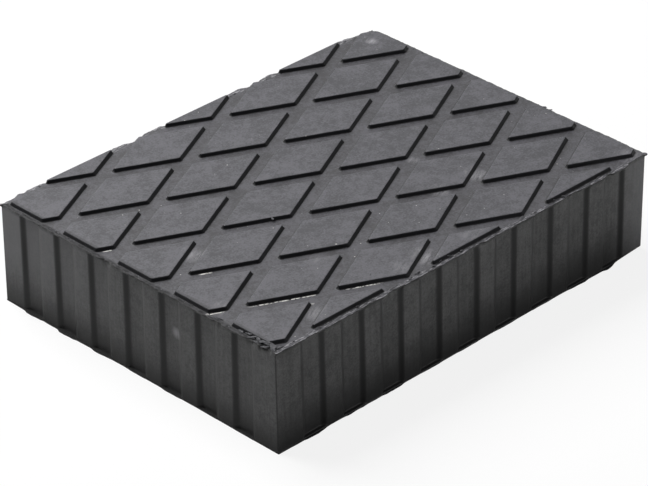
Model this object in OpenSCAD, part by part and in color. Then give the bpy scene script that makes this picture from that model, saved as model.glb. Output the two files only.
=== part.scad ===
// Rubber pad for the arm of a vehicle lift, moulded in one piece.
// A flat block with a raised diamond tread on top and shallow upright flutes
// round its four sides. Sizes are in millimetres. The origin is the middle of
// the sole, +X runs along the length and +Z points up to the tread.

/* [Block] */
// Length of the block along X
length = 160.5; // [90:0.5:240]
// Width of the block along Y
width = 122; // [80:0.5:200]
// Height from the sole to the tops of the lugs
height = 35.5; // [15:0.5:90]
// Radius of the four upright corners
corner_r = 1.2; // [0.4:0.1:4]

/* [Tread] */
// Length of one diamond of the pattern, from tip to tip
diamond_l = 50; // [30:1:80]
// Width of one diamond of the pattern, across its blunt corners
diamond_w = 25; // [16:1:50]
// Width of the channels between the tops of neighbouring lugs
channel_w = 5; // [3:0.1:9]
// Height of the lugs above the channel floor
lug_h = 1; // [0.5:0.1:3]
// How far each lug wall spreads from its top edge to its foot
lug_draft = 0.7; // [0.1:0.05:1.2]
// How much of each sharp tip of a lug is blunted
tip_trim = 1; // [0.2:0.1:4]
// Least reach of a lug over the margin line at which it is still made
least_lug = 3; // [0.5:0.5:10]
// Flat margin between the outer lug tops and the edge of the block
tread_margin = 1.5; // [1.3:0.1:6]
// Offset of the tread pattern from the middle of the block along X
tread_shift_x = 1.25; // [-5:0.25:5]
// Offset of the tread pattern from the middle of the block along Y
tread_shift_y = 0.9; // [-5:0.1:5]

/* [Side flutes] */
// Width of the mouth of each flute on the two long sides
long_flute_w = 9.8; // [6:0.1:16]
// Width of the mouth of each flute on the two short sides
short_flute_w = 9.2; // [6:0.1:16]
// Width of the flat rib left between two flutes
rib_w = 6.65; // [2:0.05:12]
// Depth of the flutes
flute_d = 1; // [0.4:0.1:3]
// Width of the sloping flank on each side of a flute
flute_flank = 1.6; // [0.4:0.1:2.5]
// Least flat land between the last flute and a corner
corner_land = 5; // [4:0.5:20]
// Thickness of the thin rims that close the flutes at the sole and at the top
rim_t = 0.5; // [0.3:0.1:3]

/* [Hidden] */
rubber = "#3b3b3d";
corner_fn = 64;
body_h = height - lug_h;
side_angle = atan(diamond_w / diamond_l);
lug_across = diamond_w * cos(side_angle) - channel_w;
lug_l = lug_across / sin(side_angle);
lug_w = lug_across / cos(side_angle);
plate_l = length - 2 * tread_margin;
plate_w = width - 2 * tread_margin;
half_steps_x = ceil((length + abs(tread_shift_x)) / diamond_l) + 1;
half_steps_y = ceil((width + abs(tread_shift_y)) / diamond_w) + 1;

// How many flutes of mouth w fit a side of the given run, corners kept flat
function flute_count(run, w) = floor((run - 2 * corner_land + rib_w) / (w + rib_w));

// Plan of the block: a rectangle with true round corners
module block_plan() {
    square([length - 2 * corner_r, width], center = true);
    square([length, width - 2 * corner_r], center = true);
    for (x = [-1, 1], y = [-1, 1])
        translate([x * (length / 2 - corner_r), y * (width / 2 - corner_r)])
            circle(r = corner_r, $fn = corner_fn);
}

// Plan of one flute, cut into a side that lies along the X axis. The flanks
// run on outside the side by as much as they reach in.
module flute_plan(w) {
    polygon([
        [-w / 2 - flute_flank, -flute_d], [w / 2 + flute_flank, -flute_d],
        [w / 2 - flute_flank, flute_d], [-w / 2 + flute_flank, flute_d]
    ]);
}

// A centred row of flutes along a side of the given run
module flute_row(run, w) {
    count = flute_count(run, w);
    pitch = w + rib_w;
    if (count > 0)
        for (i = [0 : count - 1])
            translate([(i - (count - 1) / 2) * pitch, 0]) flute_plan(w);
}

// The flutes of all four sides
module all_flutes_plan() {
    for (a = [0, 180]) {
        rotate(a) translate([0, -width / 2]) flute_row(length, long_flute_w);
        rotate(a + 90) translate([0, -length / 2]) flute_row(width, short_flute_w);
    }
}

// The block up to the channel floor, with its flutes cut between the two rims
module block() {
    difference() {
        linear_extrude(body_h) block_plan();
        translate([0, 0, rim_t]) linear_extrude(body_h - 2 * rim_t) all_flutes_plan();
    }
}

// A straight bar along X with leaning walls: top_w wide at the height of the
// lug tops and wider by the draft on each side at the channel floor
module drafted_bar(top_w, run) {
    rotate([90, 0, 90]) linear_extrude(run, center = true)
        polygon([
            [-top_w / 2 - lug_draft, 0], [top_w / 2 + lug_draft, 0],
            [top_w / 2, lug_h], [-top_w / 2, lug_h]
        ]);
}

// The area that the tread covers, leaning in on all four sides
module tread_plate() {
    intersection() {
        drafted_bar(plate_w, length);
        rotate(90) drafted_bar(plate_l, width);
    }
}

// One diamond lug: two bars crossed along its sides, and a third that blunts
// its two sharp tips
module lug() {
    intersection() {
        rotate(side_angle) drafted_bar(lug_across, diamond_l);
        rotate(-side_angle) drafted_bar(lug_across, diamond_l);
        rotate(90) drafted_bar(lug_l - 2 * tip_trim, diamond_w);
    }
}

// The staggered lattice of lugs, cut off along the margin
module tread() {
    intersection() {
        tread_plate();
        for (i = [-2 * half_steps_x : 2 * half_steps_x], j = [-2 * half_steps_y : 2 * half_steps_y]) {
            x = tread_shift_x + i * diamond_l / 2;
            y = tread_shift_y + j * diamond_w / 2;
            if ((i + j) % 2 != 0
                && abs(x) < plate_l / 2 + lug_l / 2 - least_lug
                && abs(y) < plate_w / 2 + lug_w / 2 - least_lug)
                translate([x, y, 0]) lug();
        }
    }
}

// The whole pad
module rubber_pad() {
    color(rubber) {
        block();
        translate([0, 0, body_h]) tread();
    }
}

rubber_pad();
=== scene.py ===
import math
import random
from types import SimpleNamespace

import bpy
from mathutils import Matrix, Vector, noise


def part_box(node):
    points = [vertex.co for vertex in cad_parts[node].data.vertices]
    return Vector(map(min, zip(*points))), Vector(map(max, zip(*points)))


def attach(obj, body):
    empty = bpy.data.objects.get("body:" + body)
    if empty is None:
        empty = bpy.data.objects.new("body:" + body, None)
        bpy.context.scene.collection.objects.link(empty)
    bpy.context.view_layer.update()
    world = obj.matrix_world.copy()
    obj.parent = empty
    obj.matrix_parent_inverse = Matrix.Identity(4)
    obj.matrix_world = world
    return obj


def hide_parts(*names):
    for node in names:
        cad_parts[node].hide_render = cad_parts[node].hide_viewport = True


bl_info = {
    "name": "Lift arm rubber pad",
    "version": (1, 0, 0),
    "blender": (4, 5, 0),
    "location": "3D View > Sidebar > Lift Pad",
    "description": "Builds a moulded rubber pad for the arm of a vehicle lift, and its studio",
    "category": "Object",
}

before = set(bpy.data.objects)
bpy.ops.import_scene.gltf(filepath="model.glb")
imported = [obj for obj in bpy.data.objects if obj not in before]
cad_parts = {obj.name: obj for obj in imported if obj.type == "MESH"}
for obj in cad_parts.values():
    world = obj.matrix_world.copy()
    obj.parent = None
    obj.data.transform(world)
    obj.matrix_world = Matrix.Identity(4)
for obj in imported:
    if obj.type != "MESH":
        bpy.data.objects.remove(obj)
LOWEST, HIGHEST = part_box("rubber_pad")
CAD_LENGTH, CAD_WIDTH, CAD_HEIGHT = HIGHEST - LOWEST
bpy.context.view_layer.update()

MM = 0.001
RUBBER = "compression moulded carbon black rubber"
PHOTO_WIDTH_PX = 648
SENSOR_WIDTH_MM = 36.0

# Places of the solids' right side, back side, lug tops and channel floor, in mm
RIGHT_MM = CAD_LENGTH / 2 / MM
BACK_MM = CAD_WIDTH / 2 / MM
TOP_MM = CAD_HEIGHT / MM
FLOOR_MM = TOP_MM - 1.0
# Width of the flat ring that closes the top of the walls, outside the plain middle of the channel floor
RIM_LAND = 1.8 * MM
# Least radius of a rounded corner in an outline
LEAST_ARC = 0.03 * MM
# Below this half angle a corner of a lug is blunted
SHARP_HALF_ANGLE = math.radians(30)
# How far the lugs reach down into the block
LUG_ROOT = 0.3 * MM
# Height over which each end of a flute rises to the rim
FLUTE_END = 0.22 * MM
# Refractive index of rubber
RUBBER_IOR = 1.52
# How strongly the painted shade of pits, and scratches, powder and dust cover the colour under them
PIT_SHADE_COVER = 0.8
SCRATCH_COVER = 0.8
POWDER_COVER = 0.95
DUST_COVER = 0.6
# The way from the pad to the back of the room, as the camera looks
TO_BACKDROP = (0.71, 0.71, 0.0)

# How much of their lean at the sole the left and front walls have at the top
TOP_LEAN_SHARE = 0.55
# How far in the front wall stands at its right end, as a share of how far it stands out at its left one
FRONT_RIGHT_SHARE = 0.3077

# Waves of the ragged flash: how many to the millimetre, and how much of the flash's size each one adds
FLASH_WAVES = ((0.13, 1.05), (0.45, 0.75), (1.3, 0.525))
# Bites in the skin of the top edge, in mm: x, y, half width and depth. A flap has a negative depth
EDGE_TEARS = (
    (-80.2, -56.8, 2.6, 0.8), (-80.2, -51.0, 3.4, 0.45), (-80.2, -37.0, 2.2, 0.4), (-80.2, 12.5, 3.0, 0.55),
    (-66.0, -61.0, 3.5, 0.4), (-31.5, -61.0, 5.0, 0.5), (3.0, -61.0, 5.0, 0.4), (46.0, -61.0, 4.0, 0.5),
    (79.5, 61.5, 4.0, 0.8), (67.5, -61.0, 5.5, -1.1), (58.0, -61.0, 5.0, -0.6),
    (-67.0, 61.0, 5.0, -0.8), (-32.5, 61.0, 6.0, -1.1), (-17.0, 61.0, 6.0, -1.2), (18.5, 61.0, 5.5, -1.2),
    (32.5, 61.0, 5.0, -0.9), (67.0, 61.0, 5.0, -1.0),
)
# Rubber that stayed on in shreds, in mm: x, y, z and size
SHREDS = (
    (-79.2, -59.0, 34.8, 0.85), (-78.9, -57.5, 34.9, 0.7), (-78.8, -55.8, 35.0, 0.85),
    (-79.2, -54.2, 34.8, 0.8), (-78.7, -52.5, 35.0, 0.75), (-79.3, -50.8, 34.8, 0.7),
    (-78.8, -48.9, 34.9, 0.6), (-79.4, -46.0, 34.6, 0.5), (-78.3, -58.6, 34.9, 0.6),
    (-79.9, -56.6, 34.3, 0.6), (-79.9, -53.2, 34.3, 0.55), (-77.4, -60.2, 34.5, 0.55),
    (-78.9, -36.3, 34.6, 0.5), (-79.6, -34.0, 34.4, 0.4), (-32.3, -51.6, 35.3, 0.5),
    (-29.4, -6.5, 35.3, 0.4), (80.7, -17.4, 34.4, 0.4), (80.7, -20.1, 34.4, 0.4), (-10.5, -59.6, 34.7, 0.5),
    (-6.5, -59.9, 34.6, 0.6), (-13.8, -60.4, 34.5, 0.45), (-2.0, -60.2, 34.5, 0.5),
    (24.0, -60.2, 34.5, 0.5), (39.5, -59.8, 34.6, 0.55), (43.2, -60.5, 34.5, 0.5),
    (-62.5, -60.3, 34.5, 0.5), (-46.0, -60.2, 34.5, 0.5), (-24.0, -60.3, 34.5, 0.45),
    (59.0, -60.2, 34.5, 0.45), (-20.5, -59.7, 34.6, 0.5),
)
# Small shreds strewn along the top edges: how many, the share along the long edges, and their seed
STREWN_SHREDS = 150
LONG_EDGE_SHARE = 0.55
STREWN_SEED = 11
# Pale scuffs on the tread, in mm: x, y, radius and strength
SCUFFS = (
    (-59.6, -4.4, 5.0, 0.7), (-57.3, -53.9, 5.0, 0.6), (26.9, -11.2, 2.6, 0.6), (18.7, -31.4, 4.0, 0.5),
    (-12.1, -55.1, 6.0, 0.7), (33.8, -31.9, 4.5, 1.0), (72.8, 53.0, 2.6, 1.0), (-75.0, -33.0, 4.0, 0.5),
    (-36.0, -33.0, 5.0, 0.2), (6.0, -57.0, 5.0, 0.3), (-22.0, -55.0, 5.0, 0.4), (76.0, -59.5, 6.0, 0.5),
)
# Where dried release powder lies against the lugs, in mm: x, y and radius
POWDER_SPOTS = (
    (-62.0, -41.0, 8.0), (-64.6, -14.6, 2.4), (-77.5, -32.6, 3.2), (-54.0, -44.5, 6.0), (-37.0, -53.5, 6.5),
    (-70.0, 3.0, 2.5), (-76.2, 55.3, 2.2), (-70.4, 39.2, 1.8), (-76.1, 16.7, 1.8),
)
# Pale scratches on the sides, in mm: x, y, z and radius
SIDE_SCRATCHES = (
    (-81.0, -17.8, 21.8, 2.6),
)
# Small pits in the sides, painted dark as their shade, in mm: x, y, z and radius
SIDE_PITS = (
    (-81.0, -12.5, 19.2, 0.35), (-81.0, 16.5, 13.8, 0.3), (37.0, -61.3, 27.7, 0.35),
    (10.0, -61.3, 23.7, 0.3), (3.5, -61.3, 25.7, 0.3), (-38.0, -61.5, 24.0, 0.4),
)


def linear(hex_colour):
    """An sRGB colour such as #3b3b3d as the linear RGBA that Blender works in."""
    channels = [int(hex_colour[i:i + 2], 16) / 255 for i in (1, 3, 5)]
    return tuple(
        c / 12.92 if c <= 0.04045 else ((c + 0.055) / 1.055) ** 2.4 for c in channels
    ) + (1.0,)


def add(tree, kind, inputs=None, **settings):
    """Adds a node: sets its settings, and links or fills each input that is given."""
    node = tree.nodes.new(kind)
    for name, value in settings.items():
        setattr(node, name, value)
    for key, value in (inputs or {}).items():
        if isinstance(value, bpy.types.NodeSocket):
            tree.links.new(value, node.inputs[key])
        elif isinstance(value, bpy.types.Node):
            tree.links.new(value.outputs[0], node.inputs[key])
        else:
            node.inputs[key].default_value = value
    return node


def length_property(name, description, default_mm):
    """A length that the panel shows in scene units, given here in millimetres."""
    return bpy.props.FloatProperty(
        name=name, description=description, default=default_mm * MM,
        unit="LENGTH", precision=5,
    )


def colour_property(name, description, hex_colour):
    """A colour that the panel shows, given here as an sRGB hex value."""
    return bpy.props.FloatVectorProperty(
        name=name, description=description, default=linear(hex_colour), size=4, min=0, max=1, subtype="COLOR",
    )


class LiftPadBlockSizes(bpy.types.PropertyGroup):
    """Sizes of the block, of the flutes in its sides and of its moulding flash."""
    corner_radius: length_property("Left corner radius", "Radius of the two upright corners on the left",
                                   0.45)
    worn_radius: length_property("Right corner radius", "Radius of the two upright corners on the right", 1.2)
    top_edge_radius: length_property("Top edge radius", "Rounding of the upper edge of the sides", 0.22)
    lug_height: length_property("Lug height", "How far the lugs stand above the channel floor", 1.08)
    long_pitch: length_property("Long side pitch", "Distance from flute to flute on the long sides", 16.45)
    short_pitch: length_property("Short side pitch", "Distance from flute to flute on the short sides", 15.85)
    long_mouth: length_property("Long side flute", "Width of a flute's mouth on the long sides", 9.8)
    short_mouth: length_property("Short side flute", "Width of a flute's mouth on the short sides", 9.2)
    long_count: bpy.props.IntProperty(name="Long side flutes", description="Flutes on each long side",
                                      default=9)
    short_count: bpy.props.IntProperty(name="Short side flutes", description="Flutes on each short side",
                                       default=7)
    flute_depth: length_property("Flute depth", "Depth of the flutes", 1.0)
    flank: length_property("Flank width", "Width of the sloping flank of a flute", 1.6)
    rim: length_property("Rim thickness", "Thickness of the webs that close the flutes at sole and top", 0.5)
    flute_lip: length_property("Lip at flutes", "How far the flash at the sole stands out at a flute", 0.9)
    rib_lip: length_property("Lip at ribs", "How far the flash at the sole stands out at a rib", 0.35)
    waviness: length_property("Waviness", "Greatest departure of the side walls from flat", 0.12)
    left_swell: length_property("Left swell", "How far the left wall leans out at the sole", 0.85)
    right_swell: length_property("Right swell", "How far the right wall leans out at the top", 0.55)
    front_swell: length_property("Front swell",
                                 "How far the front wall leans out at the left end of the sole", 1.04)
    corner_lift: length_property("Corner lift", "How far the sole is lifted at the front right corner", 1.1)
    top_flash: length_property("Top flash", "Size of the waves in the ragged flash at the top edge", 0.3)
    front_flash: length_property("Front flash", "How far the flash stands out along the front top edge", 0.45)
    short_edge_radius: length_property("Short edge radius", "Rounding of the upper edge of the short sides",
                                       0.35)
    corner_fin: length_property("Corner fin", "Reach of the thin fins at two upper corners", 0.75)
    seed: bpy.props.IntProperty(name="Seed", description="Seed of the uneven flash", default=4)


class LiftPadTreadSizes(bpy.types.PropertyGroup):
    """Sizes of the diamond lugs on the top."""
    diamond_length: length_property("Diamond length", "Pitch of the lugs along the pad", 50)
    diamond_width: length_property("Diamond width", "Pitch of the lugs across the pad", 25)
    channel: length_property("Channel width", "Width of the channels between the lug tops", 5.15)
    draft: length_property("Wall draft", "How far a lug wall spreads from its top to its foot", 0.7)
    tip_width: length_property("Tip width", "Width left at each sharp corner of a lug once it is blunted",
                               0.5)
    tip_radius: length_property("Tip radius", "Rounding of the corners at a lug's blunted tips", 0.2)
    side_radius: length_property("Blunt corner radius", "Rounding of the two blunt corners of a lug", 0.5)
    edge_radius: length_property("Edge radius", "Rounding of a lug's top edge", 0.25)
    margin: length_property("Margin", "Flat margin between the outer lugs and the block's edge", 1.5)
    front_margin: length_property("Front margin", "Flat margin along the front edge", 1.5)
    back_margin: length_property("Back margin", "Flat margin along the back edge", 0.15)
    border_draft: length_property("Border draft", "How far the walls along the margin spread to their foot",
                                  0.6)
    back_draft: length_property("Back draft", "How far the walls along the back edge spread to their foot",
                                0.05)
    worn_corner: length_property("Worn corner",
                                 "How far from the middle the lug at the back right corner is worn off", 86.5)
    least_lug: length_property("Least lug", "Least reach over the margin line at which a lug is made", 3)
    shift_x: length_property("Offset along", "Offset of the tread from the middle along the pad", 0.95)
    shift_y: length_property("Offset across", "Offset of the tread from the middle across the pad", 0.93)
    unevenness: length_property("Unevenness", "How far a lug may lie from its place", 0.06)
    seed: bpy.props.IntProperty(name="Seed", description="Seed of the uneven lugs", default=7)


class LiftPadColours(bpy.types.PropertyGroup):
    """Colours of the rubber, with and without its grey bloom, and the colours of its painted light and shade.
    """
    floor_dark: colour_property("Channel floor, bare", "Channel floor with the least bloom", "#28272b")
    floor_bloom: colour_property("Channel floor, bloom", "Channel floor with the most bloom", "#46454b")
    top_dark: colour_property("Lug top, bare", "Lug top with the least bloom", "#343439")
    top_bloom: colour_property("Lug top, bloom", "Lug top with the most bloom", "#525157")
    side_dark: colour_property("Side, bare", "Side wall with the least bloom", "#363636")
    side_bloom: colour_property("Side, bloom", "Side wall with the most bloom", "#575757")
    # Paler side colour: painted light along the left side and a painted reflection at the right end
    pale_side_light: colour_property("Side haze", "Thick bloom at the far end of the left side", "#6c6c6e")
    # Painted shade just above the sole
    foot_shade: colour_property("Side foot", "Side wall just above the sole", "#101010")
    # The flank colour is painted shade: on one flank of each flute, under the top edge and in the flutes
    flank: colour_property("Flute flank", "Flanks that slid along the mould", "#131313")
    lug_wall: colour_property("Lug wall", "Walls of the lugs, drawn out of the mould without bloom",
                              "#0f0f13")
    # Painted shade on the left ledge, which also darkens the lug tops near that edge
    ledge: colour_property("Ledge", "Outer edge of the top, where handling took the bloom off", "#0c0c0e")
    torn: colour_property("Torn rubber", "Fresh torn rubber at the edges", "#5a5a5d")
    # Painted shade in the pits
    pit_shade: colour_property("Pit", "Small pits in the sides", "#050505")
    scuff: colour_property("Scuff", "Pale scuffs on the tread", "#a3a2a6")
    powder: colour_property("Powder", "Dried release powder and dust", "#e6e4df")


class LiftPadStageSettings(bpy.types.PropertyGroup):
    """The camera of the photograph's view, the lamps, the floor and the room."""
    camera_place: bpy.props.FloatVectorProperty(
        name="Camera place", description="Where the camera stands", size=3,
        default=(-0.69234, -0.72330, 0.61293), subtype="TRANSLATION", unit="LENGTH", precision=5,
    )
    camera_azimuth: bpy.props.FloatProperty(
        name="Camera azimuth", description="Turn of the camera about the upright axis",
        default=math.radians(-43.6794), subtype="ANGLE",
    )
    camera_tilt: bpy.props.FloatProperty(
        name="Camera tilt", description="Angle of the view from straight down",
        default=math.radians(58.9922), subtype="ANGLE",
    )
    camera_roll: bpy.props.FloatProperty(
        name="Camera roll", description="Turn of the picture about the line of sight",
        default=math.radians(-1.1573), subtype="ANGLE",
    )
    focal_px: bpy.props.FloatProperty(
        name="Focal length in pixels", description="Focal length in pixels of the photograph",
        default=3720.13,
    )
    floor_size: bpy.props.FloatProperty(
        name="Floor size", description="Side of the square floor", default=6.0, unit="LENGTH",
    )
    board: colour_property("Board", "Colour of the floor board as the pad sees it", "#cccccc")
    shaded_board: colour_property("Shaded board", "What the camera sees of the board that takes shadow",
                                  "#656565")
    board_glow: bpy.props.FloatProperty(
        name="Board glow", description="What the camera sees of the board without shadow", default=0.86,
    )
    key_brightness: bpy.props.FloatProperty(
        name="Key brightness", description="Brightness of the key panel, where 1 looks white", default=10.5,
    )
    low_brightness: bpy.props.FloatProperty(
        name="Low panel brightness", description="Brightness of the low front panel", default=6.0,
    )
    ceiling_brightness: bpy.props.FloatProperty(
        name="Ceiling brightness", description="Brightness of the ceiling panel", default=0.3,
    )
    room_brightness: bpy.props.FloatProperty(
        name="Room brightness", description="Brightness of the dim room round the stage", default=0.03,
    )
    room: colour_property("Room", "Colour of the dim room round the stage", "#f3f7ff")
    backdrop: colour_property("Backdrop", "Colour of the backdrop, and of the board's glow", "#ffffff")


def rounded_ring(corners, reaches, steps=7):
    """One ring round a convex outline of corners (place, radius). Each side moves out by its own reach."""
    ring = []
    count = len(corners)
    for i, (here, radius) in enumerate(corners):
        before = (here - corners[i - 1][0]).normalized()
        after = (corners[(i + 1) % count][0] - here).normalized()
        moved = here + (before * reaches[i] - after * reaches[i - 1]) / before.cross(after)
        normal_before = Vector((before.y, -before.x))
        bisector = (normal_before + Vector((after.y, -after.x))).normalized()
        arc = max(LEAST_ARC, radius + (reaches[i] + reaches[i - 1]) / 2)
        centre = moved - bisector * arc / bisector.dot(normal_before)
        start = math.atan2(normal_before.y, normal_before.x)
        swing = math.atan2(before.cross(after), before.dot(after))
        for k in range(steps):
            angle = start + swing * k / (steps - 1)
            ring.append(centre + Vector((math.cos(angle), math.sin(angle))) * arc)
    return ring


def loft(name, stacks):
    """A mesh object of closed solids, each a stack of rings of equally many points, the lowest ring first."""
    verts = []
    faces = []
    for rings in stacks:
        first = len(verts)
        count = len(rings[0])
        last = first + (len(rings) - 1) * count
        for ring in rings:
            verts += ring
        for low in range(first, last, count):
            for i in range(count):
                after = (i + 1) % count
                faces.append((low + i, low + after, low + count + after, low + count + i))
        faces.append(tuple(reversed(range(first, first + count))))
        faces.append(tuple(range(last, last + count)))
    mesh = bpy.data.meshes.new(name)
    mesh.from_pydata(verts, [], faces)
    mesh.update()
    obj = bpy.data.objects.new(name, mesh)
    bpy.context.scene.collection.objects.link(obj)
    return obj


def apply_tree(obj, tree, values):
    """Runs a geometry tree on the object and keeps its result as a plain mesh."""
    modifier = obj.modifiers.new(tree.name, "NODES")
    modifier.node_group = tree
    identifiers = {item.name: item.identifier for item in tree.interface.items_tree if item.in_out == "INPUT"}
    for name, value in values.items():
        modifier[identifiers[name]] = value
    bake_modifiers(obj)


def bake_modifiers(obj):
    """Keeps the object's evaluated shape as a plain mesh and removes its modifiers."""
    graph = bpy.context.evaluated_depsgraph_get()
    mesh = bpy.data.meshes.new_from_object(obj.evaluated_get(graph))
    obj.modifiers.clear()
    obj.data = mesh
    mesh.name = obj.name


def new_tree(name, inputs):
    """An empty geometry tree with named inputs, its group input and its group output."""
    tree = bpy.data.node_groups.new(name, "GeometryNodeTree")
    tree.interface.new_socket("Geometry", in_out="INPUT", socket_type="NodeSocketGeometry")
    tree.interface.new_socket("Geometry", in_out="OUTPUT", socket_type="NodeSocketGeometry")
    for label, kind in inputs.items():
        tree.interface.new_socket(label, in_out="INPUT", socket_type=kind)
    return tree, tree.nodes.new("NodeGroupInput"), tree.nodes.new("NodeGroupOutput")


def spread(start, end, step):
    """Evenly spaced numbers after start, up to and with end, no further apart than the step."""
    count = max(1, math.ceil((end - start) / step - 1e-6))
    return [start + (end - start) * (i + 1) / count for i in range(count)]


def side_stations(start, end, pitch, mouth, flank, count):
    """Places along one side where the wall needs a column of points, from one corner to the other."""
    # The bends of a flute are soft, so each gets columns on both sides of it
    soft = [-0.5 * MM, -0.25 * MM, 0.0, 0.25 * MM, 0.5 * MM]
    marks = []
    for i in range(count):
        middle = (i - (count - 1) / 2) * pitch
        for edge in (-mouth / 2, -mouth / 2 + flank, mouth / 2 - flank, mouth / 2):
            marks += [middle + edge + s for s in soft]
    stations = [start]
    for mark in sorted(marks) + [end]:
        stations += spread(stations[-1], mark, 0.5 * MM)
    return stations


def block_columns(sizes):
    """Plan place and outward direction of each column of points round the block, from corner to corner."""
    long_side = (CAD_LENGTH / 2, CAD_WIDTH / 2, sizes.long_pitch, sizes.long_mouth, sizes.long_count)
    short_side = (CAD_WIDTH / 2, CAD_LENGTH / 2, sizes.short_pitch, sizes.short_mouth, sizes.short_count)
    radii = (sizes.corner_radius, sizes.worn_radius, sizes.worn_radius, sizes.corner_radius)
    columns = []
    arc_steps = 10
    for quarter in range(4):
        turn = Matrix.Rotation(math.pi / 2 * quarter, 2)
        half, reach, pitch, mouth, count = short_side if quarter % 2 else long_side
        radius = radii[(quarter + 1) % 4]
        stations = side_stations(radii[quarter] - half, half - radius, pitch, mouth, sizes.flank, count)
        for t in stations:
            columns.append((turn @ Vector((t, -reach)), turn @ Vector((0, -1))))
        centre = Vector((half - radius, radius - reach))
        for k in range(1, arc_steps):
            angle = -math.pi / 2 + math.pi / 2 * k / arc_steps
            outward = Vector((math.cos(angle), math.sin(angle)))
            columns.append((turn @ (centre + outward * radius), turn @ outward))
    return columns


def block_rows(sizes):
    """Heights of the rows of points up a side wall, and how far each row lies inside the wall."""
    top = CAD_HEIGHT - sizes.lug_height
    edge = sizes.top_edge_radius
    # The rows crowd together where the lip, the rims and the ends of the flutes curve
    low = [h * MM for h in (0, 0.08, 0.18, 0.3, 0.42, 0.5, 0.58, 0.68, 0.85, 1.2, 2, 3.5)]
    high = [top - h * MM for h in (3.5, 2, 1.2, 0.85, 0.68, 0.58, 0.5, 0.42, 0.32)]
    rows = [(height, 0.0) for height in low + spread(low[-1], high[0], 3 * MM)[:-1] + high]
    for k in range(6):
        angle = math.pi / 2 * k / 5
        rows.append((top - edge + edge * math.sin(angle), edge - edge * math.cos(angle)))
    return rows


def smooth_share(low, high, value):
    """0 below the low value, 1 above the high one, and a smooth rise between them."""
    share = min(1.0, max(0.0, (value - low) / (high - low)))
    return share * share * (3 - 2 * share)


def wall_lean(sizes, place, height):
    """How far a place is pushed along X and along Y, as the walls lean and the block is out of square."""
    low = 1.0 - height / (CAD_HEIGHT - sizes.lug_height)
    taper = TOP_LEAN_SHARE + (1.0 - TOP_LEAN_SHARE) * low
    along = -sizes.left_swell * taper if place.x < 0 else sizes.right_swell * (1.0 - low)
    # The front wall stands out in full at its left end, and in by a share of that at its right one
    turned = 1.0 - (1.0 + FRONT_RIGHT_SHARE) * (place.x / CAD_LENGTH + 0.5)
    across = -sizes.front_swell * turned * taper if place.y < 0 else 0.0
    # Each push fades along the neighbouring walls, soon after the corner
    near_end = smooth_share(0.9, 0.98, 2 * abs(place.x) / CAD_LENGTH)
    near_side = smooth_share(0.9, 0.98, 2 * abs(place.y) / CAD_WIDTH)
    return Vector((along * near_end, across * near_side))


def corner_rise(sizes, place, height):
    """How far a place is lifted, as the pad's front right corner curls up a little from the floor."""
    near_end = smooth_share(0.76, 1.0, 2 * place.x / CAD_LENGTH)
    near_front = smooth_share(0.6, 1.0, -2 * place.y / CAD_WIDTH)
    return sizes.corner_lift * near_end * near_front * (1.0 - smooth_share(0.0, 12 * MM, height))


def edge_flash(sizes, place, outward, height):
    """How far the thin skin at the top edge stands out: waves, fins and a front ledge, bites and flaps."""
    below = CAD_HEIGHT - sizes.lug_height - height
    skin = 1.0 - smooth_share(0.3 * MM, 0.9 * MM, below)
    thick_skin = 1.0 - smooth_share(0.6 * MM, 1.6 * MM, below)
    spot = Vector((place.x, place.y, 0.0)) / MM
    waves = sum(share * noise.noise(spot * rate) for rate, share in FLASH_WAVES)
    reach = skin * sizes.top_flash * waves
    # The fins stand at the two corners where outward X and Y have unlike signs
    reach += skin * sizes.corner_fin * max(0.0, -2.0 * outward.x * outward.y)
    along_front = max(0.0, -outward.y) * (1.0 - smooth_share(0.6, 0.8, 2 * place.x / CAD_LENGTH))
    reach += skin * sizes.front_flash * along_front
    for x, y, half, depth in EDGE_TEARS:
        away = (Vector((x, y)) * MM - place).length / (half * MM)
        share = 1.0 - smooth_share(0.45, 1.0, away)
        # A bite is jagged and a flap nearly smooth
        jagged = 1.0 + (0.7 if depth > 0 else 0.2) * noise.noise(spot * 1.1)
        reach -= thick_skin * share * jagged * depth * MM
    return reach


def roll_off(sizes, outward, height):
    """How far a wall lies in near the top edge of the short sides, which is round and not sharp."""
    radius = sizes.short_edge_radius
    below = CAD_HEIGHT - sizes.lug_height - height
    if below >= radius:
        return 0.0
    return smooth_share(0.6, 1.0, abs(outward.x)) * (radius - math.sqrt(radius ** 2 - (radius - below) ** 2))


def block_blank(sizes):
    """The block before its flutes are pressed in: plain walls, with points where the flutes need them."""
    columns = block_columns(sizes)
    rings = []
    for height, inset in block_rows(sizes):
        ring = []
        for place, outward in columns:
            reach = edge_flash(sizes, place, outward, height) - max(inset, roll_off(sizes, outward, height))
            point = place + wall_lean(sizes, place, height) + outward * reach
            ring.append((*point, height + corner_rise(sizes, place, height)))
        rings.append(ring)
    shrink = (1 - 2 * RIM_LAND / CAD_LENGTH, 1 - 2 * RIM_LAND / CAD_WIDTH)
    rings.append([(place.x * shrink[0], place.y * shrink[1], rings[-1][0][2]) for place, _ in columns])
    blank = loft("moulded_block", [rings])
    outward_data = blank.data.attributes.new("outward", "FLOAT_VECTOR", "POINT")
    outward_data.data.foreach_set(
        "vector", [c for _ in rings for _, outward in columns for c in (outward.x, outward.y, 0.0)]
    )
    return blank


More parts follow.
